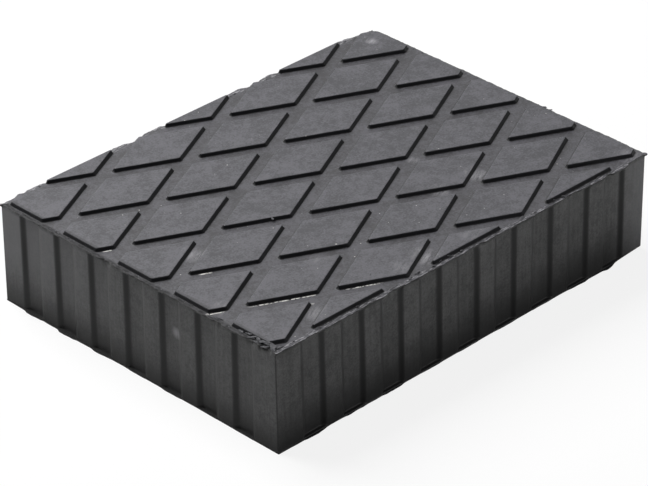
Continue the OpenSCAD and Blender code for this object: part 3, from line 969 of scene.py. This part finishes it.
def side_colour(tree, colours, point, noises, streaks):
    """Side wall colour: streaky bloom, painted light at the ends, painted shade at foot, top edge and flutes.
    """
    mixed = add(tree, "ShaderNodeMix", {0: 0.2, 2: noises.mixed, 3: streaks}, data_type="FLOAT")
    bloom = add(tree, "ShaderNodeMapRange", {0: mixed.outputs[0], 1: 0.415, 2: 0.585})
    bloomed = add(tree, "ShaderNodeMix", {0: bloom, 6: colours.side_dark, 7: colours.side_bloom},
                  data_type="RGBA")

    # Paler high up towards the back of the left side, with a little painted light all along it, and a painted
    # reflection all round the right end
    pale_along = add(tree, "ShaderNodeMapRange", {0: point.y, 1: 5.0, 2: BACK_MM - 11, 3: 0.08, 4: 0.72})
    pale_high = add(tree, "ShaderNodeMapRange", {0: point.height, 1: 3.0, 2: 20.0})
    pale_facing = add(tree, "ShaderNodeMapRange", {0: point.facing["X"], 1: -0.4, 2: -0.8})
    haze = add(tree, "ShaderNodeMath", {0: pale_along, 1: pale_high}, operation="MULTIPLY")
    left_paling = add(tree, "ShaderNodeMath", {0: haze, 1: pale_facing}, operation="MULTIPLY")
    right_reflection = add(tree, "ShaderNodeMapRange",
                     {0: point.x, 1: RIGHT_MM - 14.25, 2: RIGHT_MM - 0.25, 3: 0.0, 4: 0.6})
    either = add(tree, "ShaderNodeMath", {0: left_paling, 1: right_reflection}, operation="MAXIMUM")
    paled = add(tree, "ShaderNodeMix", {0: either, 6: bloomed.outputs[2], 7: colours.pale_side_light},
               data_type="RGBA")

    # Painted shadow: under the flash of the top edge the wall is dark in places
    under_edge = add(tree, "ShaderNodeMapRange", {0: point.height, 1: TOP_MM - 2.6, 2: TOP_MM - 1.4})
    in_places = add(tree, "ShaderNodeMapRange", {0: noises.mottle, 1: 0.4, 2: 0.6, 3: 0.15, 4: 0.75})
    shade = add(tree, "ShaderNodeMath", {0: under_edge, 1: in_places}, operation="MULTIPLY")
    shaded = add(tree, "ShaderNodeMix", {0: shade, 6: paled.outputs[2], 7: colours.flank}, data_type="RGBA")

    # Painted shade: darker towards the sole, least so at the right end of the pad
    on_long = add(tree, "ShaderNodeMath", {0: point.facing["Y"]}, operation="ABSOLUTE")
    shade_height = add(tree, "ShaderNodeMapRange", {0: on_long, 1: 0.3, 2: 0.7, 3: 14.0, 4: 18.0})
    deepest_foot_shade = add(tree, "ShaderNodeMapRange",
                    {0: point.x, 1: RIGHT_MM - 16.25, 2: RIGHT_MM - 3.25, 3: 0.9, 4: 0.2})
    foot_shade_share = add(tree, "ShaderNodeMapRange", {0: point.height, 1: 0.0, 2: shade_height, 3: deepest_foot_shade, 4: 0.0},
               interpolation_type="SMOOTHSTEP")
    foot_shaded = add(tree, "ShaderNodeMix", {0: foot_shade_share, 6: shaded.outputs[2], 7: colours.foot_shade},
                data_type="RGBA")

    # Painted shade: the floors of the flutes are a little darker than the ribs
    groove = add(tree, "ShaderNodeAttribute", attribute_type="GEOMETRY", attribute_name="groove")
    groove_shade = add(tree, "ShaderNodeMath", {0: groove.outputs["Fac"], 1: 0.09}, operation="MULTIPLY")
    groove_shaded = add(tree, "ShaderNodeMix", {0: groove_shade, 6: foot_shaded.outputs[2], 7: colours.flank},
                  data_type="RGBA")

    # Painted shade: one flank of each flute is painted dark, and two of the corners in part
    skew = add(tree, "ShaderNodeMath", {0: point.facing["X"], 1: point.facing["Y"]}, operation="MULTIPLY")
    from_corner = add(tree, "ShaderNodeMath", {0: point.inset_x, 1: point.inset_y}, operation="MAXIMUM")
    deepest_flank_shade = add(tree, "ShaderNodeMapRange", {0: from_corner, 1: 1.5, 2: 2.5, 3: 0.6, 4: 0.97})
    flank_shade_share = add(tree, "ShaderNodeMapRange", {0: skew, 1: 0.05, 2: 0.45, 3: 0.0, 4: deepest_flank_shade})
    fluted = add(tree, "ShaderNodeMix", {0: flank_shade_share, 6: groove_shaded.outputs[2], 7: colours.flank},
                 data_type="RGBA")
    # The other flank faces the light and has thin bloom
    thin_flank = add(tree, "ShaderNodeMapRange", {0: skew, 1: -0.08, 2: -0.4, 3: 0.0, 4: 0.6})
    off_corner = add(tree, "ShaderNodeMath", {0: from_corner, 1: 2.5}, operation="GREATER_THAN")
    thin_share = add(tree, "ShaderNodeMath", {0: thin_flank, 1: off_corner}, operation="MULTIPLY")
    colour = add(tree, "ShaderNodeMix", {0: thin_share, 6: fluted.outputs[2], 7: colours.side_dark},
                 data_type="RGBA")
    return colour.outputs[2]


def skin_roughness(tree, point, noises, worn, torn):
    """Roughness: satin on what faces up, glossier on the lug walls, and dull where the skin is broken."""
    side_rough = add(tree, "ShaderNodeMapRange", {0: noises.clouds, 1: 0.3, 2: 0.7, 3: 0.52, 4: 0.6})
    wall_rough = add(tree, "ShaderNodeMix", {0: point.above_floor, 2: side_rough, 3: 0.38}, data_type="FLOAT")
    skin_rough = add(tree, "ShaderNodeMapRange", {0: point.flat, 3: wall_rough.outputs[0], 4: 0.45})

    # Rounded edges are scoured, as are torn rubber, the shaded left ledge and the lug walls cut along the
    # front
    rounding = add(tree, "ShaderNodeMapRange", {0: point.facing["Z"], 1: 0.6, 2: 0.7})
    not_flat = add(tree, "ShaderNodeMath", {0: 1.0, 1: point.flat}, operation="SUBTRACT")
    broken = add(tree, "ShaderNodeMath", {0: rounding, 1: not_flat}, operation="MULTIPLY")
    flat_left_edge = add(tree, "ShaderNodeMath", {0: worn, 1: point.flat}, operation="MULTIPLY")
    to_front = add(tree, "ShaderNodeMapRange", {0: point.facing["Y"], 1: -0.78, 2: -0.85})
    front_wall = add(tree, "ShaderNodeMath", {0: to_front, 1: point.above_floor}, operation="MULTIPLY")
    for share in (torn, flat_left_edge, front_wall):
        broken = add(tree, "ShaderNodeMath", {0: broken, 1: share}, operation="MAXIMUM")
    roughness = add(tree, "ShaderNodeMix", {0: broken, 2: skin_rough, 3: 0.9}, data_type="FLOAT")
    return roughness.outputs[0]


def moulded_rubber():
    """Compression moulded natural rubber, filled with carbon black and matt from the mould.

    It gives the eye a nearly black body with a soft, broad sheen at low angles, and a thin grey bloom on
    the faces that touched the hot mould plate. Walls that were drawn out of the mould have no bloom and
    stay black.
    """
    colours = bpy.context.scene.liftpad_colours
    material = bpy.data.materials.new(RUBBER)
    material.use_nodes = True
    tree = material.node_tree
    tree.nodes.clear()
    point = surface_facts(tree)
    noises = bloom_noises(tree, point)
    worn = left_edge_shade(tree, point, noises)
    torn = add(tree, "ShaderNodeAttribute", attribute_type="GEOMETRY", attribute_name="torn").outputs["Fac"]

    # Upright drag streaks from the mould, about 1 mm wide and 20 mm long
    drawn = add(tree, "ShaderNodeMapping", {"Vector": point.place, "Scale": (0.9, 0.9, 0.05)})
    streaks = add(tree, "ShaderNodeTexNoise",
                  {"Vector": drawn, "Scale": 1.0, "Detail": 3.0, "Roughness": 0.6})

    wall = add(tree, "ShaderNodeMix", {
        0: point.above_floor, 6: side_colour(tree, colours, point, noises, streaks.outputs[0]),
        7: colours.lug_wall}, data_type="RGBA")
    body = add(tree, "ShaderNodeMix", {
        0: point.flat, 6: wall.outputs[2], 7: top_colour(tree, colours, point, noises, worn)},
        data_type="RGBA")

    # Painted shade in the pits, and pale scratches in the sides
    pits = near_marks(tree, point.place, [(*pit_shade, PIT_SHADE_COVER) for pit_shade in SIDE_PITS], 0.4)
    pit_shaded = add(tree, "ShaderNodeMix", {0: pits, 6: body.outputs[2], 7: colours.pit_shade}, data_type="RGBA")
    scratch_spots = [(*scratch, SCRATCH_COVER) for scratch in SIDE_SCRATCHES]
    scratch_area = near_marks(tree, point.place, scratch_spots, 0.8)
    scratch_lines = add(tree, "ShaderNodeMapRange", {0: streaks.outputs[0], 1: 0.32, 2: 0.5})
    scratches = add(tree, "ShaderNodeMath", {0: scratch_area, 1: scratch_lines}, operation="MULTIPLY")
    scratched = add(tree, "ShaderNodeMix", {0: scratches, 6: pit_shaded.outputs[2], 7: colours.scuff},
                    data_type="RGBA")

    # Torn rubber is the same dull grey all over
    ripped = add(tree, "ShaderNodeMix", {0: torn, 6: scratched.outputs[2], 7: colours.torn},
                 data_type="RGBA")

    # Scuffs, powder and dust lie on what faces up
    rubbed = add(tree, "ShaderNodeMath", {0: scuffs(tree, point.place), 1: point.flat}, operation="MULTIPLY")
    scuffed = add(tree, "ShaderNodeMix", {0: rubbed, 6: ripped.outputs[2], 7: colours.scuff},
                  data_type="RGBA")
    powder = add(tree, "ShaderNodeMath", {0: foot_residue(tree, point), 1: POWDER_COVER},
                 operation="MULTIPLY")
    grains = add(tree, "ShaderNodeMath", {0: dust(tree, point.place), 1: DUST_COVER}, operation="MULTIPLY")
    pale = add(tree, "ShaderNodeMath", {0: powder, 1: grains}, operation="MAXIMUM")
    lying = add(tree, "ShaderNodeMath", {0: pale, 1: point.flat}, operation="MULTIPLY")
    colour = add(tree, "ShaderNodeMix", {0: lying, 6: scuffed.outputs[2], 7: colours.powder},
                 data_type="RGBA")

    relief = add(tree, "ShaderNodeMix", {0: 0.5, 2: noises.mottle, 3: noises.grain}, data_type="FLOAT")
    bump = add(tree, "ShaderNodeBump", {"Height": relief.outputs[0], "Strength": 0.45, "Distance": 0.07 * MM})
    surface = add(tree, "ShaderNodeBsdfPrincipled", {
        "Base Color": colour.outputs[2], "Roughness": skin_roughness(tree, point, noises, worn, torn),
        "IOR": RUBBER_IOR, "Normal": bump})
    add(tree, "ShaderNodeOutputMaterial", {0: surface})
    return material


def shred_points():
    """The places of the shreds as single points: those listed, and small ones strewn along the top edges."""
    places = list(SHREDS)
    draw = random.Random(STREWN_SEED)
    for _ in range(STREWN_SHREDS):
        t = draw.uniform(-1, 1)
        side = draw.choice((-1, 1))
        inset = draw.uniform(0.3, 0.8)
        if draw.random() < LONG_EDGE_SHARE:
            x, y = t * (RIGHT_MM - 2), side * (BACK_MM - inset)
        else:
            x, y = side * (RIGHT_MM - inset), t * (BACK_MM - 2)
        # The corners keep only the shreds that are listed
        if abs(x) < RIGHT_MM - 6.25 or abs(y) < BACK_MM - 6:
            places.append((x, y, FLOOR_MM - draw.uniform(-0.05, 0.1), draw.uniform(0.1, 0.24)))
    turns = []
    for x, y, *_ in places:
        edge_angle = math.pi / 2 if RIGHT_MM - abs(x) < BACK_MM - abs(y) else 0.0
        turns += [draw.uniform(-0.5, 0.5), draw.uniform(-0.3, 0.3), edge_angle + draw.uniform(-0.5, 0.5)]
    mesh = bpy.data.meshes.new("edge_shreds")
    mesh.from_pydata([Vector(p[:3]) * MM for p in places], [], [])
    mesh.attributes.new("size", "FLOAT", "POINT").data.foreach_set("value", [p[3] * MM for p in places])
    mesh.attributes.new("turn", "FLOAT_VECTOR", "POINT").data.foreach_set("vector", turns)
    shreds = bpy.data.objects.new("edge_shreds", mesh)
    bpy.context.scene.collection.objects.link(shreds)
    return shreds


def shred_tree():
    """Sets a small torn lump on every point, each turned and stretched its own way."""
    tree, given, result = new_tree("Edge shreds", {
        "Stretch": "NodeSocketFloat", "Seed": "NodeSocketInt", "Material": "NodeSocketMaterial"})
    take = given.outputs
    lump = add(tree, "GeometryNodeMeshIcoSphere", {"Radius": 1.0, "Subdivisions": 2})
    rough = add(tree, "ShaderNodeTexNoise", {"W": take["Seed"], "Scale": 2.1, "Detail": 2.0},
                noise_dimensions="4D")
    push = add(tree, "ShaderNodeMapRange", {0: rough.outputs[0], 1: 0.3, 2: 0.7, 3: -0.6, 4: 0.6})
    offset = add(tree, "ShaderNodeVectorMath", {0: add(tree, "GeometryNodeInputNormal"), "Scale": push},
                 operation="SCALE")
    torn = add(tree, "GeometryNodeSetPosition", {"Geometry": lump.outputs["Mesh"], "Offset": offset})
    size = add(tree, "GeometryNodeInputNamedAttribute", {"Name": "size"}, data_type="FLOAT")
    turn = add(tree, "GeometryNodeInputNamedAttribute", {"Name": "turn"}, data_type="FLOAT_VECTOR")
    form = add(tree, "ShaderNodeCombineXYZ", {0: take["Stretch"], 1: 0.8, 2: 0.45})
    scale = add(tree, "ShaderNodeVectorMath", {0: form, "Scale": size}, operation="SCALE")
    placed = add(tree, "GeometryNodeInstanceOnPoints", {
        "Points": take["Geometry"], "Instance": torn, "Rotation": turn, "Scale": scale})
    real = add(tree, "GeometryNodeRealizeInstances", {"Geometry": placed})
    marked = add(tree, "GeometryNodeStoreNamedAttribute", {"Geometry": real, "Name": "torn", "Value": 1.0},
                 data_type="FLOAT", domain="POINT")
    painted = add(tree, "GeometryNodeSetMaterial", {"Geometry": marked, "Material": take["Material"]})
    tree.links.new(painted.outputs[0], result.inputs[0])
    return tree


def keep(obj):
    """Hands a finished piece to the frame: it rides on the pad's body."""
    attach(obj, "root")


class LIFTPAD_OT_block(bpy.types.Operator):
    """Builds the moulded block with its fluted sides, rims and flash"""
    bl_idname = "liftpad.block"
    bl_label = "Moulded block"

    def execute(self, context):
        sizes = context.scene.liftpad_block
        block = block_blank(sizes)
        apply_tree(block, flute_tree(), {
            "Long pitch": sizes.long_pitch, "Short pitch": sizes.short_pitch,
            "Long mouth": sizes.long_mouth, "Short mouth": sizes.short_mouth,
            "Long count": sizes.long_count, "Short count": sizes.short_count,
            "Flank": sizes.flank, "Depth": sizes.flute_depth, "Rim": sizes.rim,
            "Wall height": CAD_HEIGHT - sizes.lug_height,
            "Flute lip": sizes.flute_lip, "Rib lip": sizes.rib_lip,
            "Waviness": sizes.waviness, "Seed": sizes.seed,
            "Material": rubber_material(),
        })
        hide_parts("rubber_pad")
        keep(block)
        return {"FINISHED"}


class LIFTPAD_OT_tread(bpy.types.Operator):
    """Builds the diamond lugs of the tread"""
    bl_idname = "liftpad.tread"
    bl_label = "Diamond tread"

    def execute(self, context):
        sizes = context.scene.liftpad_tread
        height = context.scene.liftpad_block.lug_height
        lug = loft("lug_blank", [lug_stack(sizes, diamond(sizes, Vector((0.0, 0.0))), height)])
        # An odd number of places each way puts one in the middle, and those past the reach are dropped
        columns = 2 * math.ceil(CAD_LENGTH / sizes.diamond_length) + 3
        rows = 2 * math.ceil(CAD_WIDTH / sizes.diamond_width) + 3
        tread = border_lugs(sizes, height)
        apply_tree(tread, tread_tree(), {
            "Lug": lug, "Diamond length": sizes.diamond_length, "Diamond width": sizes.diamond_width,
            "Offset": (sizes.shift_x, sizes.shift_y, 0.0), "Reach": (*whole_lug_reach(sizes), 1.0),
            "Columns": columns, "Rows": rows, "Unevenness": sizes.unevenness, "Seed": sizes.seed,
            "Material": rubber_material(),
        })
        if not tread.data.polygons:
            raise RuntimeError("the tread came out empty")
        flat_tops = tread.modifiers.new("flat tops", "WEIGHTED_NORMAL")
        flat_tops.keep_sharp = True
        bake_modifiers(tread)
        tread.data.transform(Matrix.Translation((0, 0, CAD_HEIGHT - height)))
        bpy.data.objects.remove(lug)
        keep(tread)
        return {"FINISHED"}


class LIFTPAD_OT_shreds(bpy.types.Operator):
    """Strews the torn shreds of flash along the top edges"""
    bl_idname = "liftpad.shreds"
    bl_label = "Torn shreds"

    def execute(self, context):
        sizes = context.scene.liftpad_block
        shreds = shred_points()
        apply_tree(shreds, shred_tree(), {"Stretch": 2.0, "Seed": sizes.seed, "Material": rubber_material()})
        if not shreds.data.polygons:
            raise RuntimeError("the shreds came out empty")
        keep(shreds)
        return {"FINISHED"}


class LIFTPAD_OT_stage(bpy.types.Operator):
    """Sets up the floor, the lamps, the room and the camera"""
    bl_idname = "liftpad.stage"
    bl_label = "Stage"

    def execute(self, context):
        settings = context.scene.liftpad_stage
        build_floor(settings)
        build_lamps(settings)
        build_room(settings)
        build_camera(settings)
        context.scene.view_settings.view_transform = "Standard"
        return {"FINISHED"}


def rubber_material():
    """The pad's one material, made at its first use."""
    return bpy.data.materials.get(RUBBER) or moulded_rubber()


def build_floor(settings):
    """A matt white board. The camera sees it brighter than it lights the pad, and still with its shadow."""
    half = settings.floor_size / 2
    mesh = bpy.data.meshes.new("floor")
    mesh.from_pydata([(-half, -half, 0), (half, -half, 0), (half, half, 0), (-half, half, 0)], [],
                     [(0, 1, 2, 3)])
    floor = bpy.data.objects.new("floor", mesh)
    bpy.context.scene.collection.objects.link(floor)
    material = bpy.data.materials.new("matt white board")
    material.use_nodes = True
    tree = material.node_tree
    tree.nodes.clear()
    board = add(tree, "ShaderNodeBsdfDiffuse", {"Color": settings.board})
    shaded = add(tree, "ShaderNodeBsdfDiffuse", {"Color": settings.shaded_board})
    glow = add(tree, "ShaderNodeEmission", {"Color": settings.backdrop, "Strength": settings.board_glow})
    seen = add(tree, "ShaderNodeAddShader", {0: shaded, 1: glow})
    path = add(tree, "ShaderNodeLightPath")
    bright = add(tree, "ShaderNodeMath",
                 {0: path.outputs["Is Camera Ray"], 1: path.outputs["Is Transmission Ray"]},
                 operation="MAXIMUM")
    mix = add(tree, "ShaderNodeMixShader", {0: bright, 1: board, 2: seen})
    add(tree, "ShaderNodeOutputMaterial", {"Surface": mix})
    mesh.materials.append(material)


def build_lamps(settings):
    """Soft panels that all face the pad. The high key lights the top, and the low panel the long front side.

    Each panel is given by the azimuth and elevation it stands at, its distance, width and height, and its
    brightness, where 1 would look white.
    """
    panels = {
        "key_panel": (97, 50, 1.4, 0.95, 0.95, settings.key_brightness),
        "low_panel": (290, 6, 1.2, 0.8, 0.24, settings.low_brightness),
        "ceiling": (45, 84, 1.5, 1.2, 1.2, settings.ceiling_brightness),
    }
    for name, (azimuth, elevation, distance, width, height, brightness) in panels.items():
        lamp = bpy.data.lights.new(name, "AREA")
        lamp.shape = "RECTANGLE"
        lamp.size, lamp.size_y = width, height
        lamp.energy = brightness * math.pi * width * height
        obj = bpy.data.objects.new(name, lamp)
        bpy.context.scene.collection.objects.link(obj)
        turn = Matrix.Rotation(math.radians(azimuth), 3, "Z")
        tilt = Matrix.Rotation(math.radians(-elevation), 3, "Y")
        place = turn @ tilt @ Vector((distance, 0, 0))
        obj.matrix_world = Matrix.Translation(place) @ place.to_track_quat("Z", "Y").to_matrix().to_4x4()
        obj.visible_camera = False


def build_room(settings):
    """A dim room that lights the pad faintly, and the white backdrop behind the pad that the camera sees."""
    world = bpy.data.worlds.new("white room")
    world.use_nodes = True
    tree = world.node_tree
    tree.nodes.clear()
    room = add(tree, "ShaderNodeBackground", {"Color": settings.room, "Strength": settings.room_brightness})
    seen = add(tree, "ShaderNodeBackground", {"Color": settings.backdrop, "Strength": 1.0})
    path = add(tree, "ShaderNodeLightPath")
    clear = add(tree, "ShaderNodeMath",
                {0: path.outputs["Is Camera Ray"], 1: path.outputs["Is Transmission Ray"]},
                operation="MAXIMUM")
    # The white backdrop hangs round the back of the room, and mirrored rays meet it there
    toward = add(tree, "ShaderNodeVectorMath", {0: add(tree, "ShaderNodeTexCoord"), 1: TO_BACKDROP},
                 operation="DOT_PRODUCT")
    hung = add(tree, "ShaderNodeMapRange", {0: toward.outputs["Value"], 1: 0.55, 2: 0.86},
               interpolation_type="SMOOTHSTEP")
    mirrored = add(tree, "ShaderNodeMath", {0: path.outputs["Is Glossy Ray"], 1: hung}, operation="MULTIPLY")
    white = add(tree, "ShaderNodeMath", {0: clear, 1: mirrored}, operation="MAXIMUM")
    mix = add(tree, "ShaderNodeMixShader", {0: white, 1: room, 2: seen})
    add(tree, "ShaderNodeOutputWorld", {"Surface": mix})
    bpy.context.scene.world = world


def build_camera(settings):
    """The camera that was fitted to the photograph."""
    data = bpy.data.cameras.new("photo_camera")
    data.sensor_fit = "HORIZONTAL"
    data.sensor_width = SENSOR_WIDTH_MM
    data.lens = settings.focal_px * SENSOR_WIDTH_MM / PHOTO_WIDTH_PX
    data.clip_start, data.clip_end = 0.05, 20.0
    camera = bpy.data.objects.new("photo_camera", data)
    bpy.context.scene.collection.objects.link(camera)
    camera.matrix_world = (
        Matrix.Translation(settings.camera_place)
        @ Matrix.Rotation(settings.camera_azimuth, 4, "Z")
        @ Matrix.Rotation(settings.camera_tilt, 4, "X")
        @ Matrix.Rotation(settings.camera_roll, 4, "Z")
    )
    bpy.context.scene.camera = camera


class LIFTPAD_PT_panel(bpy.types.Panel):
    """Lists the steps that build the pad and its stage"""
    bl_idname = "LIFTPAD_PT_panel"
    bl_label = "Lift arm rubber pad"
    bl_space_type = "VIEW_3D"
    bl_region_type = "UI"
    bl_category = "Lift Pad"

    def draw(self, context):
        for group, steps in PANEL_PARTS.items():
            box = self.layout.box()
            settings = getattr(context.scene, group)
            for name in settings.__annotations__:
                box.prop(settings, name)
            for step in steps:
                box.operator(step)


PANEL_PARTS = {
    "liftpad_block": ["liftpad.block", "liftpad.shreds"],
    "liftpad_tread": ["liftpad.tread"],
    "liftpad_colours": [],
    "liftpad_stage": ["liftpad.stage"],
}
GROUPS = {
    "liftpad_block": LiftPadBlockSizes,
    "liftpad_tread": LiftPadTreadSizes,
    "liftpad_colours": LiftPadColours,
    "liftpad_stage": LiftPadStageSettings,
}
CLASSES = (*GROUPS.values(), LIFTPAD_OT_block, LIFTPAD_OT_tread, LIFTPAD_OT_shreds,
           LIFTPAD_OT_stage, LIFTPAD_PT_panel)


def register():
    """Registers the classes and puts the settings on the scene."""
    for cls in CLASSES:
        bpy.utils.register_class(cls)
    for name, group in GROUPS.items():
        setattr(bpy.types.Scene, name, bpy.props.PointerProperty(type=group))


def unregister():
    """Takes the settings and the classes away again."""
    for name in GROUPS:
        delattr(bpy.types.Scene, name)
    for cls in reversed(CLASSES):
        bpy.utils.unregister_class(cls)


def main():
    """Builds the pad and its stage."""
    register()
    bpy.ops.liftpad.block()
    bpy.ops.liftpad.tread()
    bpy.ops.liftpad.shreds()
    bpy.ops.liftpad.stage()


if __name__ == "__main__":
    main()
